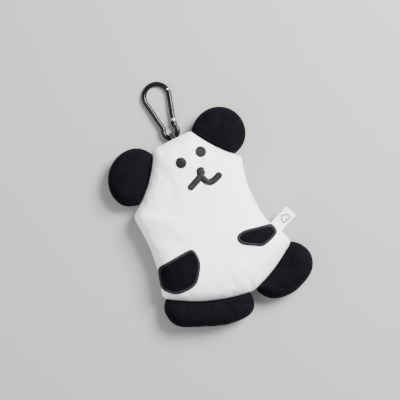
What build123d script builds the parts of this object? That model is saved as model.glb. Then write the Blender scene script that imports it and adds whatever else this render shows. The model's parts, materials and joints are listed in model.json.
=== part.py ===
from build123d import *

import os
from math import asin, atan2, cos, degrees, pi, radians, sin

# A flat stuffed panda on its back, with a small gourd-shaped carabiner on a cord loop at its crown.
# Millimetres. +Y runs from the feet to the head and +Z comes out of the tummy. The origin is on the
# flat of the back, straight below the middle of the cord loop. "left" and "right" are as seen by
# someone who looks at the face, so +X is right.

# ---- driving dimensions ----------------------------------------------------------------------------

SEAM_HEIGHT = 11.0  # every sewn edge lies this far above the surface that the back rests on
PANEL_THICKNESS = 1.2  # short-pile plush cloth
DOME_POWER = 4  # a stuffed panel rises as 1 - s**4, where s is 0 in its middle and 1 at its seam
JOIN_GAP = 0.6  # between the sewn edge of the body and the root of an ear, a foot or the label
FRONT_FLAT = 0.3  # the nearly level middle of a stuffed front, as a share of its outline

BODY_MIDDLE = (-8.0, -4.0)
BODY_RISE = 18.0  # of the tummy, above the seam
BODY_FLAT = 0.6  # the flat of the back, as a share of its outline
# Corners of the body, clockwise from the left end of the crown:
# x, y, corner radius, and how far the side that leads to the next corner bows outwards.
BODY_CORNERS = {
    "crown_left": (-18.5, 68.7, 6.0, 0.3),
    "crown_right": (15.0, 68.5, 3.5, -2.2),
    "cheek_right": (42.5, 31.5, 3.5, -4.0),
    "waist_right": (38.0, -25.0, 12.0, 1.0),
    "hip_right": (47.0, -47.5, 3.0, 2.4),
    "crotch": (2.0, -69.5, 8.0, 5.4),
    "hip_left": (-66.5, -41.5, 4.0, -4.4),
    "cheek_left": (-58.0, 27.5, 6.0, -4.2),
}

EAR_RISE = 9.5
EAR_DEPTH = 10.0
EAR_FLAT = 0.45
# The round edge of each ear: its radius, how far its centre stands off the middle of the straight
# line between the body's two corners there, and how far it is moved along it towards the crown.
EARS = {
    "left": {"radius": 23.0, "stand_off": 6.4, "towards_crown": 2.7},
    "right": {"radius": 21.5, "stand_off": 6.7, "towards_crown": 1.9},
}

FOOT_RISE = 11.5
FOOT_DEPTH = 10.5
FOOT_FLAT = 0.4
# Corners of each foot before the body is cut out of it: x, y, corner radius.
FEET = {
    "left": {
        "middle": (-38.5, -71.0),
        "corners": [(-64.0, -42.0, 1), (-68.6, -49, 5), (-67, -66.5, 9), (-28, -83.5, 25),
                    (-6, -85, 6), (0.2, -70, 2), (-12, -60, 1)],
    },
    "right": {
        "middle": (31.0, -72.0),
        "corners": [(42.0, -44.0, 1), (49.5, -48.5, 2), (57, -62, 9), (52, -76.5, 9),
                    (30, -85.5, 12), (12, -82.5, 8), (3.0, -70.3, 2), (13, -60, 1)],
    },
}

PATCH_THICKNESS = 0.8
STITCH_THICKNESS = 1.1
STITCH_WIDTH = 2.0
# Outlines of the arms, clockwise: x, y, corner radius.
ARMS = {
    "left": [(-57.6, -18.0, 1.5), (-26.0, -16.2, 2.5), (-25.6, -29.0, 12.0), (-36.0, -43.6, 12.0),
             (-53.5, -43.6, 12.0), (-62.6, -34.0, 4.0)],
    "right": [(8.6, -23.4, 3.5), (17.0, -22.4, 6.0), (38.4, -27.6, 1.5), (39.0, -35.4, 1.5),
              (24.5, -39.6, 3.0), (10.0, -30.6, 6.0)],
}
EYE_DIAMETER = 8.4
EYES = {"left": (-4.5, 48.5), "right": (14.3, 49.2)}
STROKE_WIDTH = 4.0
# The nose and mouth are one run of satin stitch: three strokes from a fork.
MOUTH_STROKES = [
    [(7.8, 37.6), (4.6, 31.0)],
    [(4.6, 31.0), (-6.3, 27.8)],
    [(4.6, 31.0), (9.8, 24.2), (20.0, 25.8)],
]

LABEL_WIDTH = 10.6
LABEL_LENGTH = 16.6
LABEL_LAYER = 0.3  # one layer of the folded ribbon
LABEL_GAP = 0.3  # between its two layers
LABEL_ROOT = (42.0, -31.5)
LABEL_LEAN = 21.0  # degrees from +X towards +Y

ROD_DIAMETER = 4.0
EYE_RADIUS = 5.7  # of the rod's centreline round the carabiner's small eye
NECK_RADIUS = 4.0
NECK_TURN = 25.0  # degrees above the eye's middle, where the eye turns into the neck
GATE_LEAN = 12.4  # degrees between the carabiner's axis and its gate, and its spine
BOW_CENTRE = 30.3  # from the middle of the eye to the middle of the large bow
CLIP_TURN = -5.0  # degrees about +Z, how the carabiner lies
EYE_REACH = 0.6  # from the crown to that point

# Along the gate, from the end of the neck.
HINGE_UP = 3.1
GATE_TOP = 25.6
NOSE_FACE = 26.0
LATCH_UP = 28.0
TONGUE_END = 29.1
NOSE_SLOT_END = 29.6

COLLAR_DIAMETER = 5.2
SADDLE_GAP = 0.2
HORN_DROP = 1.75  # from the hinge down to the horns of the saddle
RIVET_DIAMETER = 1.3
RUNNING_GAP = 0.05
HINGE_TONGUE_HALF_WIDTH = 1.6
HINGE_TONGUE_TOP = 1.7  # above the hinge
TONGUE_ROOT = 1.2  # of the hinge tongue, inside the rod
COLLAR_ROOT = 1.6  # of the collar under the hinge
GATE_OPENING_START = 5.0  # above the hinge: from here to the nose the rod is cut away
TONGUE_THICKNESS = 1.4
SLOT_WIDTH = 1.7
FORK_DEPTH = 2.6  # of the slot in the gate, above the hinge
PLUNGER_DIAMETER = 1.7
PLUNGER_LENGTH = 3.6
PLUNGER_PLAY = 0.08
BORE_END = 12.0  # above the hinge
SPRING_WIRE = 0.3
SPRING_DIAMETER = 1.3
SPRING_TURNS = 6
LATCH_DIAMETER = 1.2
LATCH_INSET = 0.5  # from the gate's middle line to the latch pin, towards the spine
NOTCH_GAP = 0.15

CORD_DIAMETER = 1.8
CORD_STRANDS_APART = 2.2  # centre to centre where the two ends go into the seam
CORD_TAIL = 8.0  # sewn in between the panels
LOOP_HINGE = (1.7, -1.5)  # out from the crown, and up from the seam: where the loop bends
LOOP_SIDE_SLACK = 0.5  # between the rod and the cord, on both sides of the rod
LOOP_SHOULDER = 2.2  # above the rod's centreline
LOOP_BASE_SLACK = 0.4  # between the rod and the cord that passes under it
LOOP_OFF_TABLE = 0.3  # of the cord that passes under the rod
LOOP_SKEW = 0.2  # how much the cord's two lowest points are moved in
CORNER_SHARE = 0.45  # of the shorter run at a corner of the cord that its arc may use
LOOP_START = 1.5  # from the hinge to the end of each strand

crown_left, crown_right = BODY_CORNERS["crown_left"], BODY_CORNERS["crown_right"]
CROWN_EDGE = (crown_left[1] + crown_right[1]) / 2 + crown_left[3]
clip_height = LOOP_OFF_TABLE + CORD_DIAMETER + LOOP_BASE_SLACK + ROD_DIAMETER / 2  # of the rod in the cord loop

os.makedirs("parts", exist_ok=True)


# ---- helpers ---------------------------------------------------------------------------------------


def save(shape, name):
    """One STEP file for one named piece."""
    shape.label = name
    export_step(shape, f"parts/{name}.step")


def solid_of(shape):
    """The one real solid in a boolean's result."""
    return max(shape.solids(), key=lambda s: s.volume)


def bowed_side(start, end, bow):
    """A side from start to end that bows to the left of its direction by bow."""
    along = Vector(end) - Vector(start)
    outward = Vector(-along.Y, along.X).normalized()
    return ThreePointArc(start, (Vector(start) + Vector(end)) / 2 + outward * bow, end)


def rounded_polygon(corners):
    """A flat face from (x, y, corner radius) corners."""
    points = [(x, y) for x, y, _ in corners]
    radii = [radius for _, _, radius in corners]
    return make_face(FilletPolyline(*points, radius=radii, close=True).edges())


def pillow_half(face, middle, rise, flat):
    """Half of a stuffed shape: its outline shrinks towards the middle as it leaves the seam."""
    full_rise = 1 - flat**DOME_POWER
    shares = [s for s in (1.0, 0.95, 0.88, 0.79, 0.68, 0.56, 0.44) if s > flat + 0.05] + [flat]
    sections = []
    for share in shares:
        height = SEAM_HEIGHT + rise * (1 - share**DOME_POWER) / full_rise
        sections.append(Pos(0, 0, height) * scale(face, by=share, about=(*middle, 0)))
    return loft(sections)


def stuffed(face, middle, rise, depth, back_flat):
    """Front panel, back panel and filling of a sewn and stuffed shape."""
    size = face.bounding_box().size
    inside = scale(face, by=1 - 2 * PANEL_THICKNESS / min(size.X, size.Y), about=(*middle, 0))
    inner_front = pillow_half(inside, middle, rise - PANEL_THICKNESS, FRONT_FLAT)
    inner_back = pillow_half(inside, middle, PANEL_THICKNESS - depth, back_flat)
    front = pillow_half(face, middle, rise, FRONT_FLAT) - inner_front
    back = pillow_half(face, middle, -depth, back_flat) - inner_back
    return solid_of(front), solid_of(back), solid_of(inner_front + inner_back)


# ---- body ------------------------------------------------------------------------------------------


def body_outline():
    """The sewn edge of the body: eight bowed sides with rounded corners."""
    corners = list(BODY_CORNERS.values())
    following = corners[1:] + corners[:1]
    face = make_face([bowed_side(a[:2], b[:2], a[3]) for a, b in zip(corners, following)])
    for x, y, radius, _ in corners:
        vertex = min(face.vertices(), key=lambda v: (v.X - x) ** 2 + (v.Y - y) ** 2)
        face = fillet(vertex, radius)
    return face


def tail_grooves():
    """Room between the panels for the two sewn-in ends of the cord."""
    grooves = []
    for side in (-1, 1):
        start = (side * CORD_STRANDS_APART / 2, CROWN_EDGE - CORD_TAIL, SEAM_HEIGHT)
        base = Plane(origin=start, x_dir=(1, 0, 0), z_dir=(0, 1, 0))
        grooves.append(extrude(base * Circle(CORD_DIAMETER / 2), amount=CORD_TAIL + JOIN_GAP))
    return grooves


outline = body_outline()
body_pieces = stuffed(outline, BODY_MIDDLE, BODY_RISE, SEAM_HEIGHT, BODY_FLAT)
for piece, name in zip(body_pieces, ("body_front_panel", "body_back_panel", "body_stuffing")):
    save(solid_of(piece - tail_grooves()), name)


# ---- ears and feet ---------------------------------------------------------------------------------


def ear_outline(ear, corner, crown_corner):
    """A disc that the body's edge cuts off, with its middle."""
    corner, crown_corner = Vector(*corner[:2]), Vector(*crown_corner[:2])
    along = (crown_corner - corner).normalized()
    outward = Vector(-along.Y, along.X)
    outward = outward if outward.Y > 0 else -outward
    middle = (corner + crown_corner) / 2 + along * ear["towards_crown"] + outward * ear["stand_off"]
    disc = Pos(middle.X, middle.Y) * Circle(ear["radius"])
    return solid_face(disc - offset(outline, JOIN_GAP)), (middle.X, middle.Y)


def solid_face(sketch):
    return max(sketch.faces(), key=lambda f: f.area)


def save_stuffed(prefix, pieces):
    for piece, name in zip(pieces, ("front_panel", "back_panel", "stuffing")):
        save(piece, f"{prefix}_{name}")


for side, ear in EARS.items():
    ear_face, ear_middle = ear_outline(ear, BODY_CORNERS[f"cheek_{side}"], BODY_CORNERS[f"crown_{side}"])
    save_stuffed(f"{side}_ear", stuffed(ear_face, ear_middle, EAR_RISE, EAR_DEPTH, EAR_FLAT))

for side, foot in FEET.items():
    foot_face = solid_face(rounded_polygon(foot["corners"]) - offset(outline, JOIN_GAP))
    save_stuffed(f"{side}_foot", stuffed(foot_face, foot["middle"], FOOT_RISE, FOOT_DEPTH, FOOT_FLAT))


# ---- what is sewn onto the front -------------------------------------------------------------------


def front_layer(thickness):
    """A skin of the body's front, from its surface out to the given thickness."""
    raised = pillow_half(offset(outline, thickness), BODY_MIDDLE, BODY_RISE + thickness, FRONT_FLAT)
    return raised - pillow_half(outline, BODY_MIDDLE, BODY_RISE, FRONT_FLAT)


def sewn_on(face, layer):
    """The part of a layer that lies over a flat outline."""
    return solid_of(layer & extrude(Pos(0, 0, SEAM_HEIGHT) * face, amount=2 * BODY_RISE))


def stroke(points):
    """A line of even width with round ends."""
    pieces = [Pos(*p) * Circle(STROKE_WIDTH / 2) for p in points]
    for (x1, y1), (x2, y2) in zip(points, points[1:]):
        length = ((x2 - x1) ** 2 + (y2 - y1) ** 2) ** 0.5
        turn = degrees(atan2(y2 - y1, x2 - x1))
        middle = ((x1 + x2) / 2, (y1 + y2) / 2, 0)
        pieces.append(Location(middle, (0, 0, turn)) * Rectangle(length, STROKE_WIDTH))
    return pieces


patch_layer = front_layer(PATCH_THICKNESS)
stitch_layer = front_layer(STITCH_THICKNESS)
for side, corners in ARMS.items():
    arm = rounded_polygon(corners)
    patch = offset(arm, -STITCH_WIDTH)
    save(sewn_on(patch, patch_layer), f"{side}_arm_patch")
    save(sewn_on(arm - patch, stitch_layer), f"{side}_arm_stitching")
for side, place in EYES.items():
    save(sewn_on(Pos(*place) * Circle(EYE_DIAMETER / 2), stitch_layer), f"{side}_eye")
mouth = Sketch() + [piece for points in MOUTH_STROKES for piece in stroke(points)]
save(sewn_on(mouth, stitch_layer), "nose_and_mouth")


# ---- side label ------------------------------------------------------------------------------------


def side_label():
    """A ribbon folded back on itself, with both ends at the seam."""
    thickness = 2 * LABEL_LAYER + LABEL_GAP
    section = Pos(LABEL_LENGTH / 2, 0) * Rectangle(LABEL_LENGTH, thickness)
    section = fillet(section.vertices().group_by(Axis.X)[-1], 0.45 * thickness)
    hollow = LABEL_LENGTH - LABEL_LAYER
    section -= Pos(hollow / 2, 0) * Rectangle(hollow, LABEL_GAP)
    section_plane = Plane(origin=(0, 0, 0), x_dir=(1, 0, 0), z_dir=(0, -1, 0))
    ribbon = extrude(section_plane * section, amount=LABEL_WIDTH / 2, both=True)
    return Location((*LABEL_ROOT, SEAM_HEIGHT), (0, 0, LABEL_LEAN)) * ribbon


save(solid_of(side_label()), "side_label")


# ---- carabiner -------------------------------------------------------------------------------------
# Drawn flat, with the middle of the small eye at the origin and the large bow towards +Y, and laid
# down at the end. On the gate, u is measured across it away from the spine, and g along it from the
# end of the neck.

rod_radius = ROD_DIAMETER / 2
neck_way = Vector(cos(radians(NECK_TURN)), sin(radians(NECK_TURN)))
neck_middle = neck_way * (EYE_RADIUS + NECK_RADIUS)
gate_along = Vector(sin(radians(GATE_LEAN)), cos(radians(GATE_LEAN)))
gate_across = Vector(cos(radians(GATE_LEAN)), -sin(radians(GATE_LEAN)))
neck_end = neck_middle - gate_across * NECK_RADIUS
bow_middle = Vector(0, BOW_CENTRE)
bow_radius = (neck_end - bow_middle).dot(gate_across)
bow_start = bow_middle + gate_across * bow_radius
gate_frame = Plane(origin=neck_end, x_dir=gate_across, z_dir=(0, 0, 1))
rest_pitch = degrees(asin((clip_height - rod_radius) / (EYE_RADIUS + BOW_CENTRE + bow_radius)))


def on_gate(u, g, z=0.0):
    return gate_frame.from_local_coords(Vector(u, g, z))


def gate_box(u_span, g_span, thickness):
    """A box in the gate's own directions, centred on the carabiner's middle plane."""
    middle = ((u_span[0] + u_span[1]) / 2, (g_span[0] + g_span[1]) / 2, 0)
    return gate_frame.location * Pos(*middle) * Box(u_span[1] - u_span[0], g_span[1] - g_span[0], thickness)


def gate_cylinder(diameter, g_span):
    """A cylinder along the gate."""
    base = Plane(origin=on_gate(0, g_span[0]), z_dir=gate_along)
    return extrude(base * Circle(diameter / 2), amount=g_span[1] - g_span[0])


def cross_pin(diameter, u, g, length):
    """A cylinder square to the carabiner's middle plane."""
    return Pos(*on_gate(u, g)) * Cylinder(diameter / 2, length)


def rod_path():
    """The rod's centreline from the hinge end round the eye, up the spine and over the bow."""

    def mirrored(point):
        return Vector(-point.X, point.Y)

    def on_arc(middle, radius, turn):
        return middle + Vector(cos(radians(turn)), sin(radians(turn))) * radius

    neck_start = on_arc(Vector(0, 0), EYE_RADIUS, NECK_TURN)
    neck_half = on_arc(neck_middle, NECK_RADIUS, (180 + NECK_TURN + 180 - GATE_LEAN) / 2)
    return [
        Line(on_gate(0, HINGE_UP), neck_end),
        ThreePointArc(neck_end, neck_half, neck_start),
        ThreePointArc(neck_start, (0, -EYE_RADIUS), mirrored(neck_start)),
        ThreePointArc(mirrored(neck_start), mirrored(neck_half), mirrored(neck_end)),
        Line(mirrored(neck_end), mirrored(bow_start)),
        ThreePointArc(mirrored(bow_start), (0, BOW_CENTRE + bow_radius), bow_start),
    ]


def rod():
    path = Wire(rod_path())
    section = Plane(origin=path @ 0, z_dir=path % 0) * Circle(rod_radius)
    bent = sweep(section, path=path)
    print(f"rod: {bent.volume / (pi * rod_radius**2 * path.length):.4f} of its section times its length")
    return bent


whole_rod = rod()


def carabiner_frame():
    hinge_end = gate_box((-ROD_DIAMETER, ROD_DIAMETER), (HINGE_UP - HORN_DROP, HINGE_UP + 1), 2 * ROD_DIAMETER)
    nose_end = gate_box((-ROD_DIAMETER, ROD_DIAMETER), (HINGE_UP + GATE_OPENING_START, NOSE_FACE), 2 * ROD_DIAMETER)
    frame = whole_rod - hinge_end - nose_end
    frame += gate_cylinder(COLLAR_DIAMETER, (HINGE_UP - rod_radius - COLLAR_ROOT, HINGE_UP - HORN_DROP))
    frame -= cross_pin(ROD_DIAMETER + 2 * SADDLE_GAP, 0, HINGE_UP, 2 * ROD_DIAMETER)
    tongue_span = (HINGE_UP - rod_radius - TONGUE_ROOT, HINGE_UP + HINGE_TONGUE_TOP)
    frame += gate_box((-HINGE_TONGUE_HALF_WIDTH, HINGE_TONGUE_HALF_WIDTH), tongue_span, TONGUE_THICKNESS)
    frame -= cross_pin(RIVET_DIAMETER, 0, HINGE_UP, 2 * ROD_DIAMETER)
    frame -= gate_box((-ROD_DIAMETER, ROD_DIAMETER), (NOSE_FACE - 1, NOSE_SLOT_END), SLOT_WIDTH)
    return frame - cross_pin(LATCH_DIAMETER, -LATCH_INSET, LATCH_UP, 2 * ROD_DIAMETER)


def latch_pin():
    """Across the nose's slot, with its ends flush with the rod."""
    return cross_pin(LATCH_DIAMETER, -LATCH_INSET, LATCH_UP, 2 * ROD_DIAMETER) & whole_rod


def gate():
    round_end = cross_pin(ROD_DIAMETER, 0, HINGE_UP, ROD_DIAMETER)
    body = gate_cylinder(ROD_DIAMETER, (HINGE_UP - rod_radius, GATE_TOP))
    body = body & (round_end + gate_box((-rod_radius, rod_radius), (HINGE_UP, GATE_TOP), ROD_DIAMETER))
    body -= gate_box((-rod_radius, rod_radius), (0, HINGE_UP + FORK_DEPTH), SLOT_WIDTH)
    body -= cross_pin(RIVET_DIAMETER + 2 * RUNNING_GAP, 0, HINGE_UP, ROD_DIAMETER)
    body -= gate_cylinder(PLUNGER_DIAMETER + 2 * RUNNING_GAP, (HINGE_UP, HINGE_UP + BORE_END))
    hook = whole_rod & gate_box((-ROD_DIAMETER, rod_radius), (GATE_TOP, TONGUE_END), TONGUE_THICKNESS)
    notch_half = LATCH_DIAMETER / 2 + NOTCH_GAP
    hook -= cross_pin(2 * notch_half, -LATCH_INSET, LATCH_UP, ROD_DIAMETER)
    hook -= gate_box((-LATCH_INSET, ROD_DIAMETER), (LATCH_UP - notch_half, LATCH_UP + notch_half), ROD_DIAMETER)
    return body + hook


def rivet():
    return cross_pin(RIVET_DIAMETER, 0, HINGE_UP, ROD_DIAMETER)


def plunger():
    start = HINGE_UP + HINGE_TONGUE_TOP + PLUNGER_PLAY
    return gate_cylinder(PLUNGER_DIAMETER, (start, start + PLUNGER_LENGTH))


def spring():
    start = HINGE_UP + HINGE_TONGUE_TOP + PLUNGER_PLAY + PLUNGER_LENGTH + SPRING_WIRE / 2
    height = HINGE_UP + BORE_END - SPRING_WIRE / 2 - start
    coil = Helix(pitch=height / SPRING_TURNS, height=height, radius=SPRING_DIAMETER / 2)
    wire = sweep(Plane(origin=coil @ 0, z_dir=coil % 0) * Circle(SPRING_WIRE / 2), path=coil, is_frenet=True)
    return Plane(origin=on_gate(0, start), z_dir=gate_along).location * wire


def laid_down(shape):
    """Turned and tipped so that the eye hangs in the cord loop and the bow touches the table."""
    eye_middle = Location((0, 0, 0), (-rest_pitch, 0, 0)) * Pos(0, EYE_RADIUS, 0)
    contact = (0, CROWN_EDGE + EYE_REACH, clip_height)
    return Pos(*contact) * Rot(0, 0, CLIP_TURN) * eye_middle * shape


for name, shape in {
    "carabiner_frame": carabiner_frame(),
    "gate_latch_pin": latch_pin(),
    "carabiner_gate": gate(),
    "gate_hinge_rivet": rivet(),
    "gate_plunger": plunger(),
    "gate_spring": spring(),
}.items():
    save(laid_down(solid_of(shape)), name)


# ---- cord loop -------------------------------------------------------------------------------------


def cord_loop():
    """The cord from one side of the seam, round the carabiner's eye and back beside itself."""
    side = CORD_STRANDS_APART / 2
    hinge_y, hinge_z = CROWN_EDGE + LOOP_HINGE[0], SEAM_HEIGHT + LOOP_HINGE[1]
    rod_y, rod_z = CROWN_EDGE + EYE_REACH, clip_height

    def strand_start(shoulder_y):
        to_shoulder = Vector(0, shoulder_y - hinge_y, rod_z + LOOP_SHOULDER - hinge_z).normalized()
        return Vector(0, hinge_y, hinge_z) + to_shoulder * LOOP_START

    half_width = (ROD_DIAMETER + CORD_DIAMETER) / 2 + LOOP_SIDE_SLACK
    far_shoulder, near_shoulder = rod_y + half_width, rod_y - half_width
    base_z = LOOP_OFF_TABLE + CORD_DIAMETER / 2
    points = [
        strand_start(far_shoulder) - Vector(side, 0, 0),
        Vector(-side, far_shoulder, rod_z + LOOP_SHOULDER),
        Vector(-side / 2, far_shoulder - LOOP_SKEW, base_z),
        Vector(side / 2, near_shoulder + LOOP_SKEW, base_z),
        Vector(side, near_shoulder, rod_z + LOOP_SHOULDER),
        strand_start(near_shoulder) + Vector(side, 0, 0),
    ]
    radii = []
    for before, point, after in zip(points, points[1:], points[2:]):
        turn = (point - before).get_angle(after - point)
        run = min((point - before).length, (after - point).length)
        radii.append(CORNER_SHARE * run / abs(sin(radians(turn) / 2) / cos(radians(turn) / 2)))
    route = FilletPolyline(*points, radius=radii)
    print("cord loop: bend radii", [round(r, 1) for r in radii], "length", round(route.length, 1))
    tube = sweep(Plane(origin=route @ 0, z_dir=route % 0) * Circle(CORD_DIAMETER / 2), path=route)
    print(f"cord loop: {tube.volume / (pi * CORD_DIAMETER**2 / 4 * route.length):.4f} of its section times its length")
    return tube


save(solid_of(cord_loop()), "loop_cord")
tails = tail_grooves()
save(Compound(children=[solid_of(tail) for tail in tails]), "loop_tails")
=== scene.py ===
# %% [markdown]
# # A stuffed panda on a key clip
# The toy is sewn from short-pile plush and stuffed flat, so it lies on its back like a small cushion.
# The clip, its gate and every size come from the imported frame, which stays where it is. This lesson
# builds the soft pieces around that frame: cloth, thread, ribbon and cord.

# %% Load the frame, and keep the size it was designed to
import json
from math import atan2, cos, pi, radians, sin, sqrt

import bmesh
import bpy
import numpy as np
from mathutils import Matrix, Vector, geometry, noise
from mathutils.bvhtree import BVHTree

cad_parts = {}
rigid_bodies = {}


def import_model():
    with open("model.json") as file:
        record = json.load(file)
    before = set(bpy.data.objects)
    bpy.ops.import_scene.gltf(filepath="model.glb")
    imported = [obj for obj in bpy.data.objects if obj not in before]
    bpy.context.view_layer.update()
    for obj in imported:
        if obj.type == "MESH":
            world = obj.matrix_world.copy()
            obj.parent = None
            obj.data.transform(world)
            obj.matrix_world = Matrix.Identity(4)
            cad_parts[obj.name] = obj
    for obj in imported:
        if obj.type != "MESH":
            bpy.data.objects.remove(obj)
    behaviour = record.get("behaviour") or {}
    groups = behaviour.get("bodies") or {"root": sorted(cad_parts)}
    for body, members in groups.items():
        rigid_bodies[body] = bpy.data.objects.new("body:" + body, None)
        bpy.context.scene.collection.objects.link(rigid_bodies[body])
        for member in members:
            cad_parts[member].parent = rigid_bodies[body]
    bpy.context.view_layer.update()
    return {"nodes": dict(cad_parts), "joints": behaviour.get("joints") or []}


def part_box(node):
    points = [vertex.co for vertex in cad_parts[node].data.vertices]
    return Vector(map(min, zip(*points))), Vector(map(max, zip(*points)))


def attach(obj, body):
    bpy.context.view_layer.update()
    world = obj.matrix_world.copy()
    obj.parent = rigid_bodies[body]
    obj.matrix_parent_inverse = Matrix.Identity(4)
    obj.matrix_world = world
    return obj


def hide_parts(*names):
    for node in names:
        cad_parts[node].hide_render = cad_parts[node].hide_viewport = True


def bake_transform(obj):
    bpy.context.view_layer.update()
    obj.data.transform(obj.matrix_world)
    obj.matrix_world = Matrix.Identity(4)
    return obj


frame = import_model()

MM = 0.001
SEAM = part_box("body_front_panel")[0].z  # every sewn edge lies at this height
joints = {joint["name"]: joint for joint in frame["joints"]}

# %% [markdown]
# ## Camera and light
# A flat toy is seen best from straight above, and it looks livelier when it lies at a slant. So the
# camera looks down and is turned about its own line of sight, and nothing on the toy is turned. One
# large lamp to the upper right gives the soft shadow, and a pale sky fills it in.

# %% Stage
VIEW_TURN = radians(27)  # how far the toy leans to the left in the view
VIEW_CENTRE = Vector((-3.5, 15.0, 0.0)) * MM
VIEW_HEIGHT = 0.9
VIEW_WIDTH = 0.32  # at the height of the seams

camera_data = bpy.data.cameras.new("camera")
camera_data.lens = camera_data.sensor_width * (VIEW_HEIGHT - SEAM) / VIEW_WIDTH
camera = bpy.data.objects.new("camera", camera_data)
camera.location = VIEW_CENTRE + Vector((0, 0, VIEW_HEIGHT))
camera.rotation_euler = (0, 0, -VIEW_TURN)
bpy.context.scene.collection.objects.link(camera)
bpy.context.scene.camera = camera


def lamp(name, energy, size, away, height):
    """A square lamp that faces the toy. away is its place as the camera sees it: right and up."""
    data = bpy.data.lights.new(name, "AREA")
    data.energy, data.size = energy, size
    right = Vector((cos(VIEW_TURN), -sin(VIEW_TURN), 0))
    up = Vector((sin(VIEW_TURN), cos(VIEW_TURN), 0))
    place = VIEW_CENTRE + right * away[0] + up * away[1] + Vector((0, 0, height))
    lit = bpy.data.objects.new(name, data)
    lit.location = place
    lit.rotation_euler = (place - VIEW_CENTRE).to_track_quat("Z", "Y").to_euler()
    bpy.context.scene.collection.objects.link(lit)


lamp("key_lamp", 56.0, 0.5, (0.62, 0.52), 0.85)
lamp("fill_lamp", 5.0, 0.9, (-0.8, -0.3), 0.8)

sky = bpy.data.worlds.new("sky")
bpy.context.scene.world = sky
sky.use_nodes = True
sky.node_tree.nodes["Background"].inputs["Color"].default_value = (0.93, 0.96, 1.0, 1)
sky.node_tree.nodes["Background"].inputs["Strength"].default_value = 0.85

# %% [markdown]
# ## Materials
# Plush is cloth with a pile of short fibres. Close up it's a field of tiny tufts, and from further off
# the tufts lean together in patches, so its shade wanders a little. Both are noise on Object
# coordinates, in one node group that the white and the black cloth share with their own values.

# %% Node helpers


def shader_group(name, inputs, outputs):
    """A new shader node group with the given sockets: {name: (socket type, default)}."""
    group = bpy.data.node_groups.new(name, "ShaderNodeTree")
    for title, (kind, value) in inputs.items():
        socket = group.interface.new_socket(title, in_out="INPUT", socket_type=kind)
        socket.default_value = value
    for title, kind in outputs.items():
        group.interface.new_socket(title, in_out="OUTPUT", socket_type=kind)
    return group, group.nodes.new("NodeGroupInput"), group.nodes.new("NodeGroupOutput")


def node(tree, kind, links=(), **settings):
    """A node with its settings, and its inputs linked or set: {input: socket or value}."""
    made = tree.nodes.new(kind)
    for key, value in settings.items():
        setattr(made, key, value)
    for key, value in dict(links).items():
        if isinstance(value, bpy.types.NodeSocket):
            tree.links.new(value, made.inputs[key])
        else:
            made.inputs[key].default_value = value
    return made


def principled(name, **inputs):
    """A material with its Principled BSDF set, and the shader and the tree to add to."""
    material = bpy.data.materials.new(name)
    material.use_nodes = True
    shader = material.node_tree.nodes["Principled BSDF"]
    for key, value in inputs.items():
        shader.inputs[key.replace("_", " ")].default_value = value
    return material, shader, material.node_tree


def multiply(tree, a, b):
    """The product of two sockets or values."""
    return node(tree, "ShaderNodeMath", {0: a, 1: b}, operation="MULTIPLY").outputs[0]


FLOAT, COLOUR = "NodeSocketFloat", "NodeSocketColor"


def make_pile_group():
    """Tufts and leaning patches of a cut pile."""
    group, given, result = shader_group(
        "pile",
        {
            "Dark": (COLOUR, (0, 0, 0, 1)), "Light": (COLOUR, (1, 1, 1, 1)),
            "Tufts per metre": (FLOAT, 1800.0), "Patches per metre": (FLOAT, 90.0),
            "Patch share": (FLOAT, 0.5),
        },
        {"Colour": COLOUR, "Height": FLOAT},
    )
    place = node(group, "ShaderNodeTexCoord").outputs["Object"]
    tuft = node(group, "ShaderNodeTexNoise", {"Vector": place, "Scale": given.outputs["Tufts per metre"],
                                              "Detail": 2.0, "Roughness": 0.6})
    patch = node(group, "ShaderNodeTexNoise", {"Vector": place, "Scale": given.outputs["Patches per metre"],
                                               "Detail": 4.0, "Roughness": 0.62, "Distortion": 0.6})
    spread = node(group, "ShaderNodeMapRange", {"Value": patch.outputs["Fac"], "From Min": 0.32, "From Max": 0.68})
    mixed = node(group, "ShaderNodeMix", {"Factor": given.outputs["Patch share"], "A": tuft.outputs["Fac"],
                                          "B": spread.outputs["Result"]})
    shade = node(group, "ShaderNodeMix", {"Factor": mixed.outputs["Result"]}, data_type="RGBA")
    group.links.new(given.outputs["Dark"], shade.inputs[6])
    group.links.new(given.outputs["Light"], shade.inputs[7])
    group.links.new(shade.outputs[2], result.inputs["Colour"])
    raised = node(group, "ShaderNodeMath", {0: spread.outputs["Result"], 1: 0.35, 2: tuft.outputs["Fac"]},
                  operation="MULTIPLY_ADD")
    group.links.new(raised.outputs[0], result.inputs["Height"])
    return group


pile_group = make_pile_group()


def plush(name, dark, light, patches, patch_share, bump, **inputs):
    """A cloth with a pile, from its own dark and light shade."""
    material, shader, tree = principled(name, Roughness=0.95, Specular_IOR_Level=0.06, **inputs)
    pile = node(tree, "ShaderNodeGroup", node_tree=pile_group)
    pile.inputs["Dark"].default_value = (*dark, 1)
    pile.inputs["Light"].default_value = (*light, 1)
    pile.inputs["Patches per metre"].default_value = patches
    pile.inputs["Patch share"].default_value = patch_share
    tree.links.new(pile.outputs["Colour"], shader.inputs["Base Color"])
    relief = node(tree, "ShaderNodeBump", {"Height": pile.outputs["Height"], "Strength": bump,
                                           "Distance": 0.35 * MM})
    tree.links.new(relief.outputs["Normal"], shader.inputs["Normal"])
    return material


white_plush = plush("white_plush", (0.86, 0.88, 0.87), (0.95, 0.96, 0.95), 60.0, 0.35, 0.35,
                    Sheen_Weight=0.25, Sheen_Roughness=0.5)
black_plush = plush("black_plush", (0.0006, 0.0006, 0.0010), (0.0038, 0.0038, 0.0060), 110.0, 0.6, 0.6,
                    Sheen_Weight=0.018, Sheen_Roughness=0.35, Sheen_Tint=(0.6, 0.65, 0.85, 1))
filling = plush("filling", (0.75, 0.75, 0.73), (0.9, 0.9, 0.88), 150.0, 0.5, 0.8)

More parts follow.
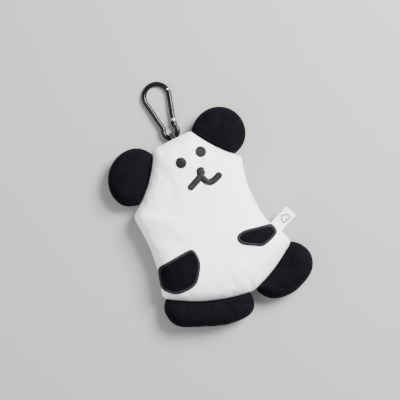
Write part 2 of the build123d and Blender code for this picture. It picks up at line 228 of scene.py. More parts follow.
# %% [markdown]
# Thread, cord and ribbon are spun or woven, so their light runs in fine lines. A second group makes
# those lines: a wave across the thread, broken up by noise. Each finish sets how far apart they are.

# %% Thread, ribbon and cord


def make_strand_group():
    """Fine lines of spun fibre, broken up so that no two look alike."""
    group, given, result = shader_group(
        "strands",
        {
            "Dark": (COLOUR, (0, 0, 0, 1)), "Light": (COLOUR, (1, 1, 1, 1)),
            "Lines per metre": (FLOAT, 2500.0), "Turn": ("NodeSocketVector", (0, 0, 0)),
        },
        {"Colour": COLOUR, "Height": FLOAT},
    )
    place = node(group, "ShaderNodeTexCoord").outputs["Object"]
    turned = node(group, "ShaderNodeMapping", {"Vector": place, "Rotation": given.outputs["Turn"]})
    wave = node(group, "ShaderNodeTexWave", {"Vector": turned.outputs[0], "Scale": given.outputs["Lines per metre"],
                                             "Distortion": 1.5, "Detail": 1.0, "Detail Scale": 0.6})
    grain = node(group, "ShaderNodeTexNoise", {"Vector": place, "Scale": 900.0, "Detail": 2.0})
    mixed = node(group, "ShaderNodeMix", {"Factor": 0.45, "A": wave.outputs["Fac"], "B": grain.outputs["Fac"]})
    shade = node(group, "ShaderNodeMix", {"Factor": mixed.outputs["Result"]}, data_type="RGBA")
    group.links.new(given.outputs["Dark"], shade.inputs[6])
    group.links.new(given.outputs["Light"], shade.inputs[7])
    group.links.new(shade.outputs[2], result.inputs["Colour"])
    group.links.new(mixed.outputs["Result"], result.inputs["Height"])
    return group


strand_group = make_strand_group()


def spun(name, dark, light, lines, turn, bump, **inputs):
    """A thread, ribbon or cord, from its shades and how far apart its lines are."""
    material, shader, tree = principled(name, **inputs)
    strands = node(tree, "ShaderNodeGroup", node_tree=strand_group)
    strands.inputs["Dark"].default_value = (*dark, 1)
    strands.inputs["Light"].default_value = (*light, 1)
    strands.inputs["Lines per metre"].default_value = lines
    strands.inputs["Turn"].default_value = turn
    tree.links.new(strands.outputs["Colour"], shader.inputs["Base Color"])
    relief = node(tree, "ShaderNodeBump", {"Height": strands.outputs["Height"], "Strength": bump,
                                           "Distance": 0.06 * MM})
    tree.links.new(relief.outputs["Normal"], shader.inputs["Normal"])
    return material


black_thread = spun("black_thread", (0.002, 0.002, 0.0025), (0.020, 0.020, 0.022), 2600.0, (0, 0, 0.6), 0.5,
                    Roughness=0.45, Specular_IOR_Level=0.18)
grey_thread = spun("grey_thread", (0.004, 0.004, 0.005), (0.015, 0.015, 0.017), 2600.0, (0, 0, 0.2), 0.5,
                   Roughness=0.5)
satin_ribbon = spun("satin_ribbon", (0.88, 0.88, 0.87), (0.97, 0.97, 0.96), 1100.0, (0, 0, radians(21)), 0.25,
                    Roughness=0.38, Sheen_Weight=0.2, Anisotropic=0.5)
black_cord = spun("black_cord", (0.004, 0.004, 0.005), (0.03, 0.03, 0.034), 900.0, (0.5, 0.3, 0.2), 0.8,
                  Roughness=0.7, Specular_IOR_Level=0.3, Sheen_Weight=0.03)

# %% [markdown]
# ## The clip's finish
# The clip is bent from aluminium rod and anodised black, and its rivet, pin and spring are plain metal.
# Keys leave short fine scratches, so noise that is stretched along one axis shows the worn colour in
# thin marks. Round the gate's hinge a ring of bright metal is painted over the black as a painted
# highlight, and a distance on Object coordinates places it.

# %% Metal
# Bright metal: the real colour of the rivet, pin and spring, and the colour of the painted highlight round the
# hinge.
BARE_METAL_AND_GLINT = (0.52, 0.53, 0.55)
GLINT_EDGE = 0.15 * MM  # how softly the black ends


def metal(name, colour, worn, roughness, scratches, metallic, glint_at=None, glint_within=2.2 * MM, **inputs):
    """A metal whose finish wanders a little, with fine scratches from keys. Near a given point it has
    a painted highlight: bright metal in place of the black finish."""
    material, shader, tree = principled(name, Metallic=metallic, **inputs)
    place = node(tree, "ShaderNodeTexCoord").outputs["Object"]
    handled = node(tree, "ShaderNodeTexNoise", {"Vector": place, "Scale": 160.0, "Detail": 5.0})
    dull = node(tree, "ShaderNodeMapRange", {"Value": handled.outputs["Fac"], "From Min": 0.35, "From Max": 0.7,
                                             "To Min": roughness, "To Max": roughness + 0.12})
    polish = dull.outputs["Result"]
    stretched = node(tree, "ShaderNodeMapping", {"Vector": place, "Scale": (1.0, 0.12, 1.0)})
    marks = node(tree, "ShaderNodeTexNoise", {"Vector": stretched.outputs[0], "Scale": 1500.0, "Detail": 3.0})
    deep = node(tree, "ShaderNodeMapRange", {"Value": marks.outputs["Fac"], "From Min": 0.66, "From Max": 0.78})
    shade = node(tree, "ShaderNodeMix", {"Factor": multiply(tree, deep.outputs["Result"], scratches)},
                 data_type="RGBA")
    shade.inputs[6].default_value = (*colour, 1)
    shade.inputs[7].default_value = (*worn, 1)
    tint = shade.outputs[2]
    # Painted highlight: near the hinge point the colour turns to bright metal and the metallic goes to 1.
    if glint_at is not None:
        away = node(tree, "ShaderNodeVectorMath", {0: place, 1: glint_at}, operation="DISTANCE")
        painted_glint = node(tree, "ShaderNodeMapRange", {"Value": away.outputs["Value"], "From Min": glint_within,
                                                 "From Max": glint_within - GLINT_EDGE}).outputs["Result"]
        swap = node(tree, "ShaderNodeMix", {"Factor": painted_glint}, data_type="RGBA")
        tree.links.new(tint, swap.inputs[6])
        swap.inputs[7].default_value = (*BARE_METAL_AND_GLINT, 1)
        tint = swap.outputs[2]
        metallic_mix = node(tree, "ShaderNodeMix", {"Factor": painted_glint, "A": metallic, "B": 1.0})
        tree.links.new(metallic_mix.outputs["Result"], shader.inputs["Metallic"])
    tree.links.new(polish, shader.inputs["Roughness"])
    tree.links.new(tint, shader.inputs["Base Color"])
    relief = node(tree, "ShaderNodeBump", {"Height": marks.outputs["Fac"], "Strength": 0.05, "Distance": 0.02 * MM})
    tree.links.new(relief.outputs["Normal"], shader.inputs["Normal"])
    return material


HINGE = Vector(joints["gate_swing"]["pos_m"])
# The black clip has a painted highlight of bright metal round its hinge.
black_anodised = metal("black_anodised", (0.002, 0.002, 0.0023), (0.03, 0.03, 0.03), 0.10, 0.4, 0.0,
                       glint_at=HINGE, Specular_IOR_Level=0.22)
bright_metal = metal("bright_metal", BARE_METAL_AND_GLINT, (0.85, 0.85, 0.85), 0.22, 0.6, 1.0)

for finish, names in (
    (black_anodised, ["carabiner_frame", "carabiner_gate"]),
    (bright_metal, ["gate_hinge_rivet", "gate_latch_pin", "gate_plunger", "gate_spring"]),
):
    for name in names:
        for place in frame["nodes"][name].material_slots:
            place.material = finish

# %% [markdown]
# ## The floor
# The toy lies on a plain pale surface. It's one large face, so its edge stays out of sight, and its
# colour is darker than the cloth, so that the white body stands out.

# %% Floor
FLOOR_HALF_WIDTH = 2.0
floor_material, floor_shader, _ = principled("pale_floor", Roughness=0.7)
floor_shader.inputs["Base Color"].default_value = (0.31, 0.305, 0.295, 1)
print("materials:", sorted(m.name for m in bpy.data.materials if m.users)[:20])
floor_mesh = bmesh.new()
bmesh.ops.create_grid(floor_mesh, x_segments=1, y_segments=1, size=FLOOR_HALF_WIDTH)
floor_data = bpy.data.meshes.new("floor")
floor_mesh.to_mesh(floor_data)
floor_mesh.free()
floor_data.materials.append(floor_material)
floor = bpy.data.objects.new("floor", floor_data)
bpy.context.scene.collection.objects.link(floor)

# %% [markdown]
# ## Finding the sewn edges
# The frame holds each stuffed piece as a plain solid. Its sewn edge is felt out with rays that come in
# from all round at the height of the seam, and the points are then spaced evenly along it. A flat
# patch bulges out all round, so the hull of its points, seen from above, is its edge.

# %% Edges from the frame
RAYS = 1440
LEVEL = 0.02 * MM  # points this close to the top count as level with it
ABOVE_SEAM = 0.1 * MM  # where the cut is made


def spaced_evenly(points, count):
    """count points at equal distances along a closed line."""
    points = np.array([tuple(p)[:2] for p in points], float)
    closed = np.vstack([points, points[:1]])
    run = np.concatenate([[0], np.cumsum(np.linalg.norm(np.diff(closed, axis=0), axis=1))])
    at = np.linspace(0, run[-1], count, endpoint=False)
    return np.column_stack([np.interp(at, run, closed[:, i]) for i in (0, 1)])


def length_round(points):
    """The length of a closed line."""
    return float(np.linalg.norm(points - np.roll(points, 1, axis=0), axis=1).sum())


def middle_of(cad_node):
    """The middle of a node's level top, which can see the whole of its edge."""
    points = np.array([v.co for v in frame["nodes"][cad_node].data.vertices])
    return points[points[:, 2] > points[:, 2].max() - LEVEL].mean(axis=0)[:2]


def level_cut(cad_node, height):
    """The short straight runs where a level plane cuts a node: their starts and their ends."""
    bm = bmesh.new()
    bm.from_mesh(frame["nodes"][cad_node].data)
    cut = bmesh.ops.bisect_plane(bm, geom=bm.verts[:] + bm.edges[:] + bm.faces[:], dist=0.0001 * MM,
                                 plane_co=(0, 0, height), plane_no=(0, 0, 1))["geom_cut"]
    runs = np.array([[v.co.xy for v in g.verts] for g in cut if isinstance(g, bmesh.types.BMEdge)])
    bm.free()
    return runs[:, 0], runs[:, 1]


def cross(a, b):
    """Above 0 where b lies to the left of a."""
    return a[..., 0] * b[..., 1] - a[..., 1] * b[..., 0]


def sewn_edge(cad_node, spacing):
    """The outermost line of a level cut just above the seam, and the middle it is seen from.
    Where a cord is sewn in, the cut is open and the line goes straight across."""
    middle = middle_of(cad_node)
    starts, ends = (points - middle for points in level_cut(cad_node, SEAM + ABOVE_SEAM))
    turns = np.linspace(0, 2 * pi, RAYS, endpoint=False)
    ways = np.column_stack([np.cos(turns), np.sin(turns)])
    start_side, end_side = cross(ways[:, None], starts[None]), cross(ways[:, None], ends[None])
    crossed = (start_side > 0) != (end_side > 0)
    share = start_side / np.where(crossed, start_side - end_side, 1)
    reach = (ways @ starts.T) * (1 - share) + (ways @ ends.T) * share
    reach = np.where(crossed, reach, 0).max(axis=1)
    edge = (middle + ways * reach[:, None])[reach > 0]
    return spaced_evenly(edge, int(length_round(edge) / spacing)), middle


def hull_edge(cad_node, spacing):
    """The edge of a flat patch from above, and its middle."""
    points = [v.co.xy for v in frame["nodes"][cad_node].data.vertices]
    hull = [points[i] for i in geometry.convex_hull_2d(points)]
    edge = spaced_evenly(hull, RAYS // 2)
    return spaced_evenly(edge, int(length_round(edge) / spacing)), edge.mean(axis=0)


def distance_to(points, edge):
    """How far each point is from a closed line."""
    start, step = edge, np.roll(edge, -1, axis=0) - edge
    offset = points[:, None, :] - start[None]
    share = np.clip((offset * step).sum(2) / (step**2).sum(1), 0, 1)
    return np.linalg.norm(offset - share[..., None] * step, axis=2).min(axis=1)


# %% [markdown]
# ## Stuffing a shape
# Real plush is two flat panels sewn at the edge and filled. The mesh starts as a ring along the seam,
# and each side is extruded inwards ring by ring and closed in the middle. Its height grows fast near
# the seam and then levels off. Cloth simulation with air pressure does the rest: the seam is pinned,
# and the cloth is cut a little too large, so it puckers where it meets the seam.

# %% Pads
PRESSURE = 140.0
SPARE_CLOTH = 0.014
CLOTH_MASS = 0.01
CLOTH_STIFFNESS = 22.0
CLOTH_FRAMES = 14
CLOTH_LIMIT = 1.8 * MM  # no point moves further than this in the end
FILLING_INSET = 2.4 * MM
INNERMOST = 0.06  # of the seam's size, for the ring that closes a pad
SMOOTHING_PASSES = 12
LUMP_SIZE, LUMP_DEPTH = 22 * MM, 0.45 * MM


def new_object(name, bm, material):
    """Turns a bmesh into an object at the origin, smooth-shaded."""
    data = bpy.data.meshes.new(name)
    bm.to_mesh(data)
    bm.free()
    data.materials.append(material)
    data.shade_smooth()
    made = bpy.data.objects.new(name, data)
    bpy.context.scene.collection.objects.link(made)
    return made


def inward_rings(bm, loop, middle, shares):
    """Extrudes a closed loop of edges towards the middle, and closes it there. Returns the new verts."""
    added = []
    for before, share in zip(shares, shares[1:]):
        grown = bmesh.ops.extrude_edge_only(bm, edges=loop)["geom"]
        verts = [g for g in grown if isinstance(g, bmesh.types.BMVert)]
        fresh = set(verts)
        loop = [g for g in grown if isinstance(g, bmesh.types.BMEdge) and fresh.issuperset(g.verts)]
        bmesh.ops.scale(bm, vec=(share / before, share / before, 1), verts=verts,
                        space=Matrix.Translation((-middle[0], -middle[1], 0)))
        added += verts
    cap = bmesh.ops.contextual_create(bm, geom=loop)["faces"]
    added += bmesh.ops.poke(bm, faces=cap)["verts"]
    return added


def plump_height(distance, reach, power=2.3):
    """0 at the seam, 1 from reach inwards, with a round shoulder between."""
    inside = np.clip(distance / reach, 0, 1)
    return (1 - (1 - inside) ** power) ** (1 / power)


def set_heights(verts, edge, rise, reach):
    """Raises each point above the seam, or lowers it, by how far it is from the edge."""
    distance = distance_to(np.array([v.co.xy for v in verts]), edge)
    for vert, height in zip(verts, plump_height(distance, reach)):
        vert.co.z = SEAM + rise * height


def pad_mesh(edge, middle, rise, depth, reach, ring_step):
    """Both sides of a stuffed shape, with its seam as the first ring."""
    bm = bmesh.new()
    seam = bmesh.ops.create_circle(bm, segments=len(edge), radius=1)["verts"]
    for vert, point in zip(seam, edge):
        vert.co = (*point, SEAM)
    seam_edges = bm.edges[:]
    widest = np.linalg.norm(edge - middle, axis=1).mean()
    count = int(widest / ring_step)
    shares = [1 - (1 - INNERMOST) * i / count for i in range(count + 1)]
    for lift in (rise, -depth):
        added = inward_rings(bm, seam_edges, middle, shares)
        set_heights(added, edge, lift, reach if lift > 0 else 0.8 * reach)
        for _ in range(SMOOTHING_PASSES):
            bmesh.ops.smooth_vert(bm, verts=added, factor=0.5, use_axis_z=True)
    bmesh.ops.recalc_face_normals(bm, faces=bm.faces)
    return bm, len(seam)


def lumps(bm, seam_count, size, depth):
    """Filling is never quite even: a slow noise moves each point along its normal."""
    bm.verts.ensure_lookup_table()
    bm.normal_update()
    for vert in bm.verts[seam_count:]:
        slow = noise.noise(vert.co / size) + 0.35 * noise.noise(vert.co / (0.35 * size))
        vert.co += vert.normal * depth * slow


def inflate(pad, seam_count):
    """Air pressure inside slightly spare cloth, with the seam pinned. Large moves are held back."""
    rest = np.array([v.co for v in pad.data.vertices])
    pad.vertex_groups.new(name="seam").add(list(range(seam_count)), 1.0, "REPLACE")
    cloth = pad.modifiers.new("cloth", "CLOTH")
    settings = cloth.settings
    settings.quality, settings.mass = 5, CLOTH_MASS
    settings.tension_stiffness = settings.compression_stiffness = CLOTH_STIFFNESS
    settings.shear_stiffness, settings.bending_stiffness = CLOTH_STIFFNESS / 2, 0.25
    settings.use_pressure, settings.uniform_pressure_force = True, PRESSURE
    settings.shrink_min = -SPARE_CLOTH
    settings.vertex_group_mass = "seam"
    settings.effector_weights.gravity = 0
    cloth.point_cache.frame_end = CLOTH_FRAMES
    for step in range(1, CLOTH_FRAMES + 1):
        bpy.context.scene.frame_set(step)
    filled = pad.evaluated_get(bpy.context.evaluated_depsgraph_get()).to_mesh()
    moved = np.array([v.co for v in filled.vertices]) - rest
    pad.modifiers.remove(cloth)
    pad.vertex_groups.clear()
    bpy.context.scene.frame_set(1)
    far = np.linalg.norm(moved, axis=1, keepdims=True)
    settled = rest + moved * CLOTH_LIMIT / (far + CLOTH_LIMIT)
    pad.data.vertices.foreach_set("co", settled.ravel())
    pad.data.update()
    print(f"{pad.name}: cloth moved up to {far.max() / MM:.1f} mm")


def stuffed(name, panel, rise, depth, reach, material, spacing=1.9 * MM, tuck=None):
    """A stuffed piece on the edge of a CAD panel, with its filling as a smaller pad inside it."""
    edge, middle = sewn_edge(panel, spacing)
    if tuck is not None:
        edge = tuck(edge)
    bm, seam_count = pad_mesh(edge, middle, rise, depth, reach, spacing)
    inner = bm.copy()
    lumps(bm, seam_count, LUMP_SIZE, LUMP_DEPTH)
    pad = new_object(name, bm, material)
    inflate(pad, seam_count)
    rest_on_table(pad)
    inner.normal_update()
    for vert in inner.verts:
        vert.co -= vert.normal * FILLING_INSET
    bmesh.ops.scale(inner, vec=(0.96, 0.96, 0.94), verts=inner.verts[:],
                    space=Matrix.Translation((-middle[0], -middle[1], -SEAM)))
    stuffing = new_object(name + "_filling", inner, filling)
    return pad, stuffing


def rest_on_table(pad):
    """Cloth that would sink into the table lies flat on it instead."""
    for vert in pad.data.vertices:
        vert.co.z = max(vert.co.z, 0.05 * MM)


def smooth_finish(piece):
    """One smooth step between the points of a finished pad."""
    finish = piece.modifiers.new("smooth", "SUBSURF")
    finish.levels = finish.render_levels = 1


# %% [markdown]
# ## The body
# Head and tummy are one white shape with no neck. At the crotch the two feet pull on the seam, and a
# short crease runs up from there.

# %% Body
LIMB_SPACING = 1.5 * MM  # between points of a limb's seam, and of the body's edge that limbs are measured from
BODY_SHOULDER = 27 * MM  # from the seam to where the body is at its full height
body_low, body_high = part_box("body_front_panel")
body_edge = sewn_edge("body_front_panel", LIMB_SPACING)[0]
body, body_filling = stuffed("panda_body", "body_front_panel", body_high.z - SEAM, SEAM - 0.1 * MM,
                             BODY_SHOULDER, white_plush)
CREASE_FOOT = Vector((1.0, body_low.y / MM + 1, 0)) * MM
CREASE_LENGTH = 17 * MM
CREASE_WIDTH = 1.7 * MM
CREASE_DEPTH = 3.4 * MM
CREASE_BOW = 1.6 * MM  # to the right, halfway up
CREASE_FADE = 4 * MM  # above the seam, where it has its full depth
for vert in body.data.vertices:
    up = (vert.co.y - CREASE_FOOT.y) / CREASE_LENGTH
    if vert.co.z > SEAM + 0.5 * MM and -0.2 < up < 1:
        bow = CREASE_FOOT.x + CREASE_BOW * sin(pi * min(max(up, 0), 1))
        across = (vert.co.x - bow) / (CREASE_WIDTH * (1 + up))
        fade = min(1, (vert.co.z - SEAM) / CREASE_FADE) * (1 - max(up, 0)) ** 0.7
        vert.co.z -= CREASE_DEPTH * fade * 2.718 ** (-across * across)
smooth_finish(body)
for piece, nodes in ((body, ["body_front_panel", "body_back_panel"]), (body_filling, ["body_stuffing"])):
    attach(piece, "plush")
    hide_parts(*nodes)
body_surface = BVHTree.FromObject(body, bpy.context.evaluated_depsgraph_get())
print("body:", len(body.data.vertices), "points")

# %% [markdown]
# ## Ears and feet
# Each is a black pad whose root is caught in the body's seam. The root is tucked a little way into the
# body.

# %% Ears and feet
TUCK = 1.1 * MM
ROUNDING_PASSES = 14


def outward_of(joint):
    """Out of the body, square to the seam line that the joint turns about."""
    return Vector((0, 0, 1)).cross(Vector(joint["axis"]))


def rounded_off(edge, passes, share=1.0):
    """Pulls each point of a closed line towards its neighbours, which rounds the corners."""
    for _ in range(passes):
        between = (np.roll(edge, 1, axis=0) + np.roll(edge, -1, axis=0)) / 2
        edge = edge + 0.5 * share * (between - edge)
    return edge


def limb_edge(joint, along_stretch, out_stretch, shift):
    """Rounds a limb's free edge, stretches and shifts it along the seam, and tucks the root into the body."""
    out = np.array(outward_of(joint).xy)
    along = np.array([-out[1], out[0]])
    root = np.array(joint["pos_m"][:2])

    def shape(edge):
        from_seam = distance_to(edge, body_edge)[:, None]
        free = np.clip((from_seam - 1.5 * MM) / (7 * MM), 0, 1)
        edge = rounded_off(edge, ROUNDING_PASSES, free) - root
        edge = (root + along * ((edge @ along)[:, None] * (1 + (along_stretch - 1) * free) + shift * free)
                + out * (edge @ out)[:, None] * (1 + (out_stretch - 1) * free))
        edge = rounded_off(edge, ROUNDING_PASSES, free)
        return edge - np.clip((2.2 * MM - from_seam) / (1.2 * MM), 0, 1) * out * TUCK

    return shape


for limb, rise, depth, reach, along_stretch, out_stretch, shift in (
    ("left_ear", 9.5, 10, 12, 1.11, 1.00, 1.1),
    ("right_ear", 9.5, 10, 12, 1.06, 1.08, -0.8),
    ("left_foot", 11.5, 10.8, 9.5, 1.07, 1.06, 0),
    ("right_foot", 11.5, 10.8, 12, 1.06, 1.03, 0),
):
    joint = joints[limb + "_bend"]
    pad, stuffing = stuffed("panda_" + limb, limb + "_front_panel", rise * MM, depth * MM, reach * MM,
                            black_plush, spacing=LIMB_SPACING,
                            tuck=limb_edge(joint, along_stretch, out_stretch, shift * MM))
    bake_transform(pad)
    smooth_finish(pad)
    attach(stuffing, limb)
    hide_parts(limb + "_front_panel", limb + "_back_panel")
    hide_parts(limb + "_stuffing")
    print(limb, len(pad.data.vertices), "points")

# %% [markdown]
# ## Threads
# Satin stitch is many short threads side by side, each one diving into the cloth at both ends. A
# thread is a short line with a round section, and a whole motif of them is one curve object that is
# turned into a mesh.

# %% Thread helpers
THREAD = 0.46 * MM  # across one thread
THREAD_STEP = 0.40 * MM
THREAD_SUNK = 0.12 * MM  # how deep a thread's ends are in the cloth
PATCH_SHOULDER = 1.3 * MM  # from a patch's edge to its full thickness


def on_cloth(x, y, lift=0.0):
    """The point of the cloth below (x, y), lifted off it. Past the body's edge it is the nearest point."""
    place, normal, _, _ = body_surface.ray_cast(Vector((x, y, 0.1)), Vector((0, 0, -1)))
    if place is None:
        place, normal, _, _ = body_surface.find_nearest(Vector((x, y, SEAM + 1.5 * MM)))
    return place + normal * lift


def sewn_threads(name, runs, material, thickness=THREAD):
    """One mesh of many short threads, each given by its points."""
    line = bpy.data.curves.new(name, "CURVE")
    line.dimensions, line.bevel_depth, line.bevel_resolution = "3D", thickness / 2, 1
    line.use_fill_caps = True
    for run in runs:
        spline = line.splines.new("POLY")
        spline.points.add(len(run) - 1)
        for point, place in zip(spline.points, run):
            point.co = (*place, 1)
    return curve_to_piece(name, line, material)


def curve_to_piece(name, line, material):
    """The mesh of a curve with a round section, as an object."""
    held = bpy.data.objects.new(name + "_line", line)
    bpy.context.scene.collection.objects.link(held)
    bpy.context.view_layer.update()
    data = bpy.data.meshes.new_from_object(held.evaluated_get(bpy.context.evaluated_depsgraph_get()))
    bpy.data.objects.remove(held)
    data.name = name
    data.materials.clear()
    data.materials.append(material)
    data.shade_smooth()
    piece = bpy.data.objects.new(name, data)
    bpy.context.scene.collection.objects.link(piece)
    return piece


def stitch(start, end, crown, stations=6):
    """One thread from start to end over the cloth, raised by crown in its middle."""
    run = []
    for i in range(stations):
        share = i / (stations - 1)
        x, y = start[0] + (end[0] - start[0]) * share, start[1] + (end[1] - start[1]) * share
        run.append(on_cloth(x, y, crown * sin(pi * share) ** 0.6 - THREAD_SUNK))
    return run


def raised_patch(name, edge, middle, thickness, material):
    """A flat shape that lies on the cloth, with a round edge."""
    bm = bmesh.new()
    rim = bmesh.ops.create_circle(bm, segments=len(edge), radius=1)["verts"]
    for vert, point in zip(rim, edge):
        vert.co = (*point, 0)
    loop = bm.edges[:]
    widest = np.linalg.norm(edge - middle, axis=1).mean()
    count = max(4, int(widest / PATCH_SHOULDER))
    shares = [1 - 0.94 * i / count for i in range(count + 1)]
    upper = inward_rings(bm, loop, middle, [1.0, 1 - 0.25 * MM / widest] + shares[1:])
    lower = inward_rings(bm, loop, middle, shares)
    distance = dict(zip(upper, distance_to(np.array([v.co.xy for v in upper]), edge)))
    for vert in rim:
        vert.co = on_cloth(*vert.co.xy, -0.25 * MM)
    for vert in lower:
        vert.co = on_cloth(*vert.co.xy, -0.45 * MM)
    for vert in upper:
        raised = thickness * float(plump_height(distance[vert], PATCH_SHOULDER))
        vert.co = on_cloth(*vert.co.xy, raised - 0.05 * MM)
    bmesh.ops.recalc_face_normals(bm, faces=bm.faces)
    return new_object(name, bm, material)


# %% [markdown]
# ## The arms
# Each arm is a piece of black plush laid on the tummy and sewn down all round with a dense satin
# border, which covers its cut edge.

# %% Arms
BORDER = 2.4 * MM
BORDER_CROWN = 1.0 * MM
UNDER_BORDER = 0.9 * MM  # how far the cloth goes on below the stitches
PATCH_THICKNESS = 0.5 * MM
for side, growth in (("left", 1.04), ("right", 1.09)):  # rounding the corners shrinks the outline
    outer, middle = hull_edge(f"{side}_arm_stitching", THREAD_STEP)
    outer = middle + (rounded_off(outer, 60) - middle) * growth
    cut_edge, cut_middle = hull_edge(f"{side}_arm_patch", 1.0 * MM)
    reach_under = 1 + UNDER_BORDER / np.linalg.norm(cut_edge - cut_middle, axis=1, keepdims=True)
    cut_edge = cut_middle + (rounded_off(cut_edge, 8) - cut_middle) * growth * reach_under
    patch = raised_patch(f"{side}_arm", cut_edge, cut_middle, PATCH_THICKNESS, black_plush)
    runs = []
    along = np.roll(outer, -1, axis=0) - np.roll(outer, 1, axis=0)
    along /= np.linalg.norm(along, axis=1, keepdims=True)
    inward = np.column_stack([-along[:, 1], along[:, 0]])
    if ((middle - outer) * inward).sum() < 0:
        inward = -inward
    for i, (point, way, slide) in enumerate(zip(outer, inward, along)):
        uneven = noise.noise(Vector((i * 0.37, 3.1, 0))) * 0.18 * MM
        end = point + way * (BORDER + uneven) + slide * 0.3 * MM
        runs.append(stitch(point - way * uneven, end, BORDER_CROWN))
    border = sewn_threads(f"{side}_arm_border", runs, black_thread)
    for piece, cad_node, slot in ((patch, "patch", "black_plush"), (border, "stitching", "black_thread")):
        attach(piece, "plush")
        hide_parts(f"{side}_arm_{cad_node}")
    print(f"{side} arm: {len(runs)} stitches")

# %% [markdown]
# ## The face
# The eyes are small discs of satin stitch. Nose and mouth are one line of it: three strokes that meet
# at a fork, each one a row of threads laid across its own direction.

# %% Face
STROKE_CROWN = 0.75 * MM


def embroidered_disc(cad_node, slant, shift):
    """Rows of thread that fill an eye's circle, side by side across the slant."""
    low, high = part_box(cad_node)
    centre, radius = (low.xy + high.xy) / 2 + shift, (high.x - low.x) / 2 + 0.2 * MM
    way, side = Vector((cos(slant), sin(slant))), Vector((-sin(slant), cos(slant)))
    runs = []
    rows = int(2 * radius / THREAD_STEP)
    for i in range(rows):
        off = -radius + (i + 0.5) * 2 * radius / rows
        half = sqrt(max(radius**2 - off**2, 0)) * (1 + 0.05 * noise.noise(Vector((i * 0.7, 1.7, radius * 1e3))))
        a, b = centre + side * off - way * half, centre + side * off + way * half
        runs.append(stitch(a, b, 0.45 * MM + 0.35 * MM * half / radius, stations=8))
    return runs


def bent_line(points, step):
    """A smooth line through a few points, as places at even steps with their directions."""
    line = bpy.data.curves.new("bent_line", "CURVE")
    line.dimensions, line.resolution_u = "3D", 24
    spline = line.splines.new("NURBS")
    spline.points.add(len(points) - 1)
    for point, place in zip(spline.points, points):
        point.co = (place[0], place[1], 0, 1)
    spline.order_u, spline.use_endpoint_u = 3, True
    dense = line_points(line)[:, :2]
    run = np.concatenate([[0], np.cumsum(np.linalg.norm(np.diff(dense, axis=0), axis=1))])
    at = np.linspace(0, run[-1], max(2, int(run[-1] / step)))
    places = np.column_stack([np.interp(at, run, dense[:, i]) for i in (0, 1)])
    ways = np.gradient(places, axis=0)
    return places, ways / np.linalg.norm(ways, axis=1, keepdims=True)


def line_points(line):
    """The points along a curve with no bevel."""
    held = bpy.data.objects.new("line", line)
    bpy.context.scene.collection.objects.link(held)
    bpy.context.view_layer.update()
    data = bpy.data.meshes.new_from_object(held.evaluated_get(bpy.context.evaluated_depsgraph_get()))
    points = np.array([v.co for v in data.vertices])
    bpy.data.objects.remove(held)
    bpy.data.meshes.remove(data)
    return points


def satin_stroke(points, width):
    """Threads laid across a bent line, with round ends."""
    places, ways = bent_line(points, THREAD_STEP)
    runs = []
    for i, (place, way) in enumerate(zip(places, ways)):
        from_end = min(i, len(places) - 1 - i) * THREAD_STEP
        short_of_round = max(0.0, 1 - (from_end + 0.25 * MM) / (0.42 * width))
        half = width / 2 * sqrt(1 - short_of_round**2)
        across = np.array([-way[1], way[0]]) * half
        wander = way * 0.15 * MM * noise.noise(Vector((i * 0.9, width * 1e3, 0)))
        runs.append(stitch(place - across, place + across + wander, STROKE_CROWN))
    return runs


for side, slant, shift in (
    ("left", radians(12), Vector((0.9, -0.9)) * MM), ("right", radians(-8), Vector((-0.1, -0.6)) * MM),
):
    eye = sewn_threads(f"{side}_eye_stitches", embroidered_disc(f"{side}_eye", slant, shift), black_thread)
    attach(eye, "plush")
    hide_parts(f"{side}_eye")

mouth_low, mouth_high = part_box("nose_and_mouth")
STROKE = 4.0 * MM  # of the designed strokes, whose box is measured
MOUTH_WIDTH = 5.4 * MM
NOSE_WIDTH = 7.0 * MM
both_ways = Vector((STROKE, STROKE, 0))
inner_low, inner_size = mouth_low + both_ways / 2, mouth_high - mouth_low - both_ways


def in_mouth_box(share_x, share_y):
    """A place in the box that the designed strokes' middles fill: 0 to 1 each way."""
    return inner_low.x + share_x * inner_size.x, inner_low.y + share_y * inner_size.y


strokes = [
    (NOSE_WIDTH, [(0.54, 1.02), (0.52, 0.78), (0.45, 0.50)]),
    (MOUTH_WIDTH, [(0.46, 0.56), (0.25, 0.36), (-0.04, 0.16)]),
    (MOUTH_WIDTH, [(0.47, 0.50), (0.50, 0.02), (0.66, -0.05), (0.82, 0.0), (1.02, 0.17)]),
]
mouth_runs = [run for width, points in strokes
              for run in satin_stroke([in_mouth_box(*p) for p in points], width)]
mouth = sewn_threads("nose_and_mouth_stitches", mouth_runs, black_thread)
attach(mouth, "plush")
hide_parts("nose_and_mouth")
print("mouth:", len(mouth_runs), "stitches")

# %% [markdown]
# ## The side label
# A label is one length of satin ribbon, folded in half and caught in the side seam by both ends. It
# is bent here as a strip along its own section and given its thickness at the end. The mark on it is
# a plain heart in grey thread.

# %% Label
LABEL_WIDTH = 10.6 * MM
LABEL_LENGTH = 16.6 * MM
RIBBON = 0.28 * MM
LABEL_OPEN = 0.55 * MM  # between the middles of the two layers
LABEL_ROOT_IN = 2.2 * MM  # of each end, inside the seam
label_joint = joints["label_bend"]
label_out = outward_of(label_joint)
label_across = Vector(label_joint["axis"]).normalized()
label_root = Vector(label_joint["pos_m"])


def label_section():
    """The ribbon's line, seen from its edge: (out, up), from one end round the fold to the other."""
    half = LABEL_OPEN / 2
    tip = LABEL_LENGTH - half
    out_run = [(x, -half) for x in np.linspace(-LABEL_ROOT_IN, tip, 14)]
    fold = [(tip + half * sin(a), -half * cos(a)) for a in np.linspace(0, pi, 7)[1:-1]]
    back_run = [(x, half) for x in np.linspace(tip, -LABEL_ROOT_IN, 14)]
    return out_run + fold + back_run


def label_lift(out, across):
    """Ribbon lifts a little towards its tip, and one corner more than the other."""
    share = max(out, 0) / LABEL_LENGTH
    return 1.3 * MM * share**1.6 + 0.5 * MM * share * across / LABEL_WIDTH


def label_point(out, across, up):
    """A place on the label in the toy's own space."""
    return label_root + label_out * out + label_across * across + Vector((0, 0, up + label_lift(out, across)))


